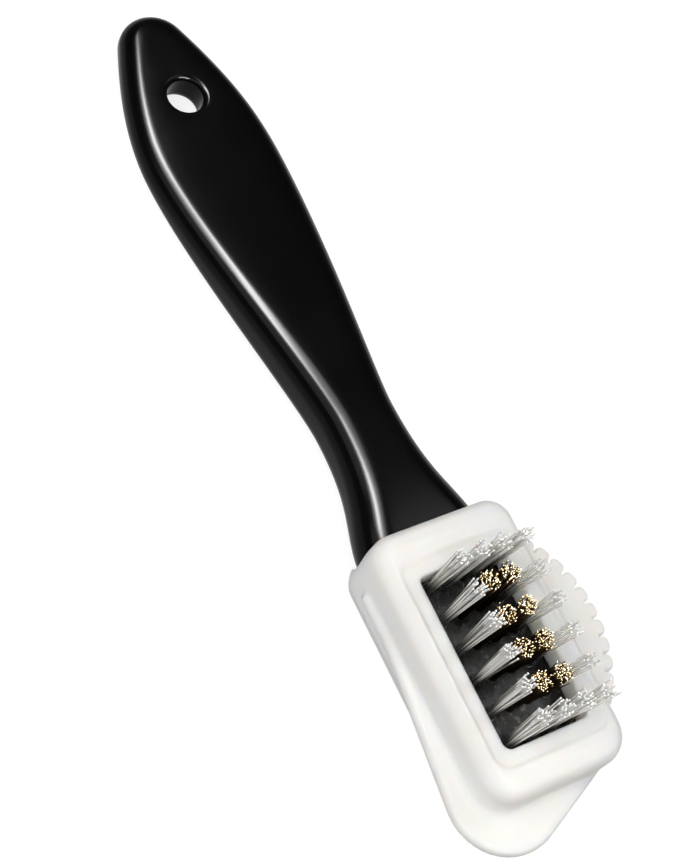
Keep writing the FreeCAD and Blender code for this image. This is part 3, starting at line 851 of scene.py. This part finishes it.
def pour(made, parts, voxel):
    """Joins loose shapes into an object and remeshes everything to one soft skin."""
    poured = bmesh.new()
    poured.from_mesh(made.data)
    for part in parts:
        joined = bpy.data.meshes.new("flange")
        part.to_mesh(joined)
        part.free()
        poured.from_mesh(joined)
        bpy.data.meshes.remove(joined)
    poured.to_mesh(made.data)
    poured.free()
    remesh = made.modifiers.new("one_skin", "REMESH")
    remesh.mode = "VOXEL"
    remesh.voxel_size = voxel
    apply_modifiers(made)
    skin = bmesh.new()
    skin.from_mesh(made.data)
    for _ in range(SKIN_SMOOTHING):
        bmesh.ops.smooth_vert(skin, verts=skin.verts, factor=SKIN_SOFTNESS, use_axis_x=True,
                              use_axis_y=True, use_axis_z=True)
    for vert in skin.verts:
        vert.co.z = max(vert.co.z, 0.0)
    skin.to_mesh(made.data)
    skin.free()
    made.data.shade_smooth()


pour(sleeve, [wing_shape], SLEEVE_VOXEL)
toothed_arc = add_object("sleeve_teeth", plate_shape)
pour(toothed_arc, teeth, TOOTH_VOXEL)
print("faces of the sleeve skins:", len(sleeve.data.polygons), len(toothed_arc.data.polygons))

# %% [markdown]
# The rubber is a warm ivory with a satin surface. Soft noise warms it in patches, a fine grain breaks
# its sheen, and subsurface light gives the milky depth of soft rubber. A ramp across the sleeve sets how
# deep the light goes: far in the wall between window and teeth, which glows, and least in the thin arc,
# which would lose its light through its back.

# %% Sleeve finish
IVORY_COLOURS = [(0.3, (0.905, 0.89, 0.86)), (0.7, (0.925, 0.915, 0.89))]
PATCH_SCALE, PATCH_DETAIL = 90, 3
GRAIN_SCALE, GRAIN_DETAIL = 2600, 2
GRAIN_STRENGTH, GRAIN_DEPTH = 0.12, 0.03 * MM
RUBBER_ROUGHNESS = (0.5, 0.62)
RUBBER_SHINE = 0.05
RUBBER_GLOW, GLOW_TINT = 0.85, (1.0, 0.86, 0.68)
LIGHT_DEPTHS = [(0.0, 2.6 * MM), (8.0 * MM, 6.0 * MM), (12.5 * MM, 6.0 * MM), (15.0 * MM, 0.6 * MM)]

ivory, add, link = new_material("ivory_rubber")
rubber = add("ShaderNodeBsdfPrincipled")
patches = noise_on_object(add, link, PATCH_SCALE, PATCH_DETAIL)
link(ramp(add, link, patches, IVORY_COLOURS), rubber.inputs["Base Color"])
grain = noise_on_object(add, link, GRAIN_SCALE, GRAIN_DETAIL)
link(spread(add, link, grain, *RUBBER_ROUGHNESS), rubber.inputs["Roughness"])
rubber.inputs["Specular IOR Level"].default_value = RUBBER_SHINE
link(bump(add, link, grain, GRAIN_STRENGTH, GRAIN_DEPTH), rubber.inputs["Normal"])
rubber.inputs["Subsurface Weight"].default_value = RUBBER_GLOW
rubber.inputs["Subsurface Radius"].default_value = GLOW_TINT
across = add("ShaderNodeSeparateXYZ")
link(add("ShaderNodeTexCoord").outputs["Object"], across.inputs[0])
from_middle = add("ShaderNodeMapRange")
last_place = LIGHT_DEPTHS[-1][0]
from_middle.inputs["From Max"].default_value = last_place
link(across.outputs["Y"], from_middle.inputs["Value"])
depths = [(place / last_place, (depth, depth, depth)) for place, depth in LIGHT_DEPTHS]
link(ramp(add, link, from_middle.outputs["Result"], depths), rubber.inputs["Subsurface Scale"])
show(add, link, rubber)
for skin in (sleeve, toothed_arc):
    skin.data.materials.clear()
    skin.data.materials.append(ivory)
    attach(skin, "root")
    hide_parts("rubber_sleeve")
print("sleeve finish:", ivory.name)

# %% [markdown]
# Each tuft is a bundle of loose filaments that spread from their hole. Hair particles could do this, but
# small tubes are real geometry that exports. One filament is modelled once, straight and one unit long,
# with a slightly swollen end, and every copy is bent along its own gentle curve.

# %% One filament
import random

FILAMENT_SIDES = 6
FILAMENT_LEVELS = 5
END_SWELL = 1.3
END_START, END_WIDEST, END_TIP = 0.985, 0.992, 0.75


def straight_filament(end_swell):
    """A unit filament along Z: a six-sided tube with a rounded, slightly swollen end."""
    shape = bmesh.new()
    bmesh.ops.create_circle(shape, cap_ends=False, segments=FILAMENT_SIDES, radius=1.0)
    loop = shape.edges[:]
    stations = [(step / FILAMENT_LEVELS, 1.0) for step in range(1, FILAMENT_LEVELS)]
    stations += [(END_START, 1.0), (END_WIDEST, end_swell), (1.0, END_TIP * end_swell)]
    reached, width = 0.0, 1.0
    for height, radius in stations:
        grown = bmesh.ops.extrude_edge_only(shape, edges=loop)["geom"]
        verts = [g for g in grown if isinstance(g, bmesh.types.BMVert)]
        loop = [g for g in grown if isinstance(g, bmesh.types.BMEdge)]
        bmesh.ops.translate(shape, verts=verts, vec=(0, 0, height - reached))
        bmesh.ops.scale(shape, verts=verts, vec=(radius / width, radius / width, 1))
        reached, width = height, radius
    bmesh.ops.edgeloop_fill(shape, edges=loop)
    bmesh.ops.recalc_face_normals(shape, faces=shape.faces)
    mesh = bpy.data.meshes.new("filament")
    shape.to_mesh(mesh)
    shape.free()
    return mesh


nylon_filament = straight_filament(END_SWELL)
brass_filament = straight_filament(1.0)
print("faces of one filament:", len(nylon_filament.polygons))

# %% [markdown]
# The filaments stand in the hole in a sunflower pattern, fan out towards their tips and end at uneven
# heights, as trimmed and used bristles do. Towards the toothed side the nylon is clearer, and the last
# column is sparser, so the rubber shows through. A seeded generator makes the same brush every time.

# %% Tufts
GOLDEN_TURN = math.pi * (3 - math.sqrt(5))
FILAMENT_VALUES = ("along", "painted_shade_and_tone", "clear")
CLEAR_END = 0.98
ROOT_DEPTH = 1.5 * MM
FAN_POWER = 1.35
TURN_JITTER = 0.25
BOW_SHARE = 2
SEED = 24
NYLON_TIP_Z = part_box("nylon_tuft_row1_column1")[1].z
BRASS_TIP_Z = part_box("brass_tuft_row2_column2")[1].z
rng = random.Random(SEED)


def add_filament(shape, template, radius, root, tip, bow, shade, clearness, white_end):
    """Adds one filament from root to tip, bowed sideways in the middle, with its own shade value: a painted
    shade on nylon, a random darkening on brass.
    """
    along, painted_shade_and_tone, clear = (shape.verts.layers.float[name] for name in FILAMENT_VALUES)
    first = len(shape.verts)
    shape.from_mesh(template)
    shape.verts.ensure_lookup_table()
    for vert in shape.verts[first:]:
        share = vert.co.z
        vert[along] = share
        # Nylon's cut ends are left out of the painted shade.
        vert[painted_shade_and_tone] = 1.0 if white_end and share > CLEAR_END else shade
        vert[clear] = clearness if share < CLEAR_END else 0.0
        centre = root.lerp(tip, share)
        fan = share ** FAN_POWER
        centre.x = root.x + (tip.x - root.x) * fan + bow.x * share * (1 - share)
        centre.y = root.y + (tip.y - root.y) * fan + bow.y * share * (1 - share)
        vert.co = centre + Vector((vert.co.x * radius, vert.co.y * radius, 0))


def make_tuft(name, centre, count, lean, unruly, clearness, template, radius, root_spread, tip_spread, tip_z,
              uneven, white_end):
    """One tuft of filaments that fan out from its hole."""
    shape = bmesh.new()
    for value in FILAMENT_VALUES:
        shape.verts.layers.float.new(value)
    for number in range(count):
        turn = number * GOLDEN_TURN + rng.uniform(-TURN_JITTER, TURN_JITTER)
        share = math.sqrt((number + 0.5) / count)
        out = Vector((math.cos(turn), math.sin(turn), 0))
        root = centre + out * (share * root_spread) - Vector((0, 0, ROOT_DEPTH))
        stray = Vector((rng.gauss(0, 1), rng.gauss(0, 1), 0)) * unruly
        tip = centre + out * (share * tip_spread) + lean + stray
        tip.z = tip_z - abs(rng.gauss(0, 1)) * uneven
        bow = Vector((rng.uniform(-1, 1), rng.uniform(-1, 1), 0)) * BOW_SHARE * unruly
        # Nylon gets a painted shade per filament for the shadowed gaps, kept light in clearer columns; brass
        # gets a random darkening.
        shade = max(rng.random(), clearness)
        add_filament(shape, template, radius, root, tip, bow, shade, clearness, white_end)
    bmesh.ops.recalc_face_normals(shape, faces=shape.faces)
    tuft = add_object(name, shape)
    tuft.data.shade_smooth()
    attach(tuft, "root")
    return tuft


NYLON_LEAN = [Vector((0.1, 0.1, 0)) * MM, Vector((0.2, 0.4, 0)) * MM,
              Vector((0.3, 0.8, 0)) * MM, Vector((0.5, 1.3, 0)) * MM]
BRASS_LEAN = {1: Vector((-0.2, -0.45, 0)) * MM, 2: Vector((-0.2, 0.1, 0)) * MM}
BRASS_FAN = Vector((0.38, 0, 0)) * MM
NYLON_CLEAR = [0.05, 0.1, 0.3, 0.75]
NYLON_COUNT, THIN_COUNT, BRASS_COUNT = 26, 17, 84
NYLON_UNRULY, END_ROW_UNRULY, BRASS_UNRULY = 0.13 * MM, 0.27 * MM, 0.2 * MM
NYLON = {"template": nylon_filament, "radius": 0.155 * MM, "root_spread": 0.7 * MM, "tip_spread": 1.55 * MM,
         "tip_z": NYLON_TIP_Z, "uneven": 0.28 * MM, "white_end": True}
BRASS = {"template": brass_filament, "radius": 0.085 * MM, "root_spread": 0.85 * MM, "tip_spread": 1.75 * MM,
         "tip_z": BRASS_TIP_Z, "uneven": 0.45 * MM, "white_end": False}
nylon_tufts, brass_tufts = [], []
for row in range(TUFT_ROWS):
    for column in range(TUFT_COLUMNS):
        number = f"row{row + 1}_column{column + 1}"
        if 0 < row < TUFT_ROWS - 1 and 0 < column < TUFT_COLUMNS - 1:
            lean = BRASS_LEAN[column] + BRASS_FAN * (row - (TUFT_ROWS - 1) / 2)
            tuft = make_tuft(f"brass_bristles_{number}", hole_place(row, column), BRASS_COUNT, lean,
                             BRASS_UNRULY, 0.0, **BRASS)
            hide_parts(f"brass_tuft_{number}")
            brass_tufts.append(tuft)
        else:
            end_row = row in (0, TUFT_ROWS - 1)
            count = THIN_COUNT if column == TUFT_COLUMNS - 1 and not end_row else NYLON_COUNT
            unruly = END_ROW_UNRULY if end_row else NYLON_UNRULY
            tuft = make_tuft(f"nylon_bristles_{number}", hole_place(row, column), count, NYLON_LEAN[column],
                             unruly, NYLON_CLEAR[column], **NYLON)
            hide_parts(f"nylon_tuft_{number}")
            nylon_tufts.append(tuft)
print("tufts:", len(nylon_tufts), "nylon and", len(brass_tufts), "brass")

# %% [markdown]
# Nylon is a milky, half clear white, bright at its cut ends. Low in the bundle its colour is painted darker
# as painted shade, and each nylon filament gets a painted shade of its own for the shadowed gaps between
# them.
# Brass wire is golden only at its tips; lower down its colour is painted dark as painted shade in the
# bundle, and each wire gets a random darkening. A ramp over height would do for straight bristles, but
# these lean and end unevenly, so both finishes read values that each filament's own points carry.

# %% Bristle finishes
# Nylon colours from root to tip: the dark low part is painted shade for the shadow down in the bundle, the
# white is the nylon's own.
NYLON_SHADE_PAINTED_COLOURS = [(0.0, (0.03, 0.03, 0.03)), (0.25, (0.12, 0.118, 0.11)), (0.46, (0.75, 0.74, 0.69)),
                 (0.62, (0.97, 0.96, 0.92)), (1.0, (0.99, 0.985, 0.97))]
# Painted shade per nylon filament: the darker ones stand in for the shadowed gaps in the bundle.
NYLON_PAINTED_SHADES = [(0.0, (0.1, 0.1, 0.09)), (0.3, (0.55, 0.54, 0.5)), (0.5, (1.0, 1.0, 1.0))]
NYLON_SCALE, NYLON_ROUGHNESS = 700, (0.1, 0.2)
NYLON_IOR = 1.45
NYLON_GLOW, NYLON_GLOW_TINT, NYLON_GLOW_DEPTH = 0.4, (1.0, 1.0, 0.95), 0.4 * MM
# Brass from root to tip: the dark wire is painted shade for the shadow in the bundle; the gold at the tips is
# the brass's own.
BRASS_SHADE_PAINTED_COLOURS = [(0.0, (0.012, 0.008, 0.005)), (0.8, (0.022, 0.014, 0.007)), (0.982, (0.05, 0.03, 0.014)),
                 (0.99, (0.9, 0.8, 0.57))]
BRASS_TONES = [(0.0, (0.25, 0.19, 0.12)), (0.45, (0.65, 0.58, 0.46)), (0.85, (1.0, 1.0, 1.0))]
BRASS_SCALE, BRASS_ROUGHNESS = 900, (0.5, 0.7)
WIRE_DETAIL = 2


def on_filament(add, name):
    """A value stored on the filaments: along runs from root to tip, painted_shade_and_tone is each one's own
    darkening, painted shade on nylon and random on brass.
    """
    return add("ShaderNodeAttribute", attribute_name=name).outputs["Fac"]


def shade_painted_colour(add, link, colours, shades_and_tones):
    """A colour that runs along the filament, painted darker low down as painted shade, times each filament's
    own darkening.
    """
    node = add("ShaderNodeMix", data_type="RGBA", blend_type="MULTIPLY")
    node.inputs["Factor"].default_value = 1.0
    link(ramp(add, link, on_filament(add, "along"), colours), node.inputs["A"])
    link(ramp(add, link, on_filament(add, "painted_shade_and_tone"), shades_and_tones), node.inputs["B"])
    return node.outputs["Result"]


milky, add, link = new_material("milky_nylon")
nylon = add("ShaderNodeBsdfPrincipled")
link(shade_painted_colour(add, link, NYLON_SHADE_PAINTED_COLOURS, NYLON_PAINTED_SHADES), nylon.inputs["Base Color"])
nylon_noise = noise_on_object(add, link, NYLON_SCALE, WIRE_DETAIL)
link(spread(add, link, nylon_noise, *NYLON_ROUGHNESS), nylon.inputs["Roughness"])
link(on_filament(add, "clear"), nylon.inputs["Transmission Weight"])
nylon.inputs["IOR"].default_value = NYLON_IOR
nylon.inputs["Subsurface Weight"].default_value = NYLON_GLOW
nylon.inputs["Subsurface Radius"].default_value = NYLON_GLOW_TINT
nylon.inputs["Subsurface Scale"].default_value = NYLON_GLOW_DEPTH
show(add, link, nylon)
for tuft in nylon_tufts:
    tuft.data.materials.append(milky)

golden, add, link = new_material("shade_painted_brass")
brass = add("ShaderNodeBsdfPrincipled")
brass.inputs["Metallic"].default_value = 1.0
link(shade_painted_colour(add, link, BRASS_SHADE_PAINTED_COLOURS, BRASS_TONES), brass.inputs["Base Color"])
brass_noise = noise_on_object(add, link, BRASS_SCALE, WIRE_DETAIL)
link(spread(add, link, brass_noise, *BRASS_ROUGHNESS), brass.inputs["Roughness"])
show(add, link, brass)
for tuft in brass_tufts:
    tuft.data.materials.append(golden)
print("bristle finishes:", milky.name, golden.name)

# %% [markdown]
# The flat anchors that pin each tuft stay hidden at the bottom of their holes. The CAD shape is right,
# so it stays and only gets a drawn steel finish.

# %% Anchors
STEEL_COLOURS = [(0.3, (0.5, 0.5, 0.5)), (0.7, (0.66, 0.66, 0.65))]
STREAK_SCALE, STREAK_DETAIL = 1500, 3
STEEL_ROUGHNESS = (0.25, 0.45)

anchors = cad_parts["tuft_anchors"]
drawn_steel, add, link = new_material("drawn_steel")
steel = add("ShaderNodeBsdfPrincipled")
steel.inputs["Metallic"].default_value = 1.0
streaks = noise_on_object(add, link, STREAK_SCALE, STREAK_DETAIL)
link(ramp(add, link, streaks, STEEL_COLOURS), steel.inputs["Base Color"])
link(spread(add, link, streaks, *STEEL_ROUGHNESS), steel.inputs["Roughness"])
show(add, link, steel)
anchors.data.materials.clear()
anchors.data.materials.append(drawn_steel)
print("anchors finish:", drawn_steel.name)
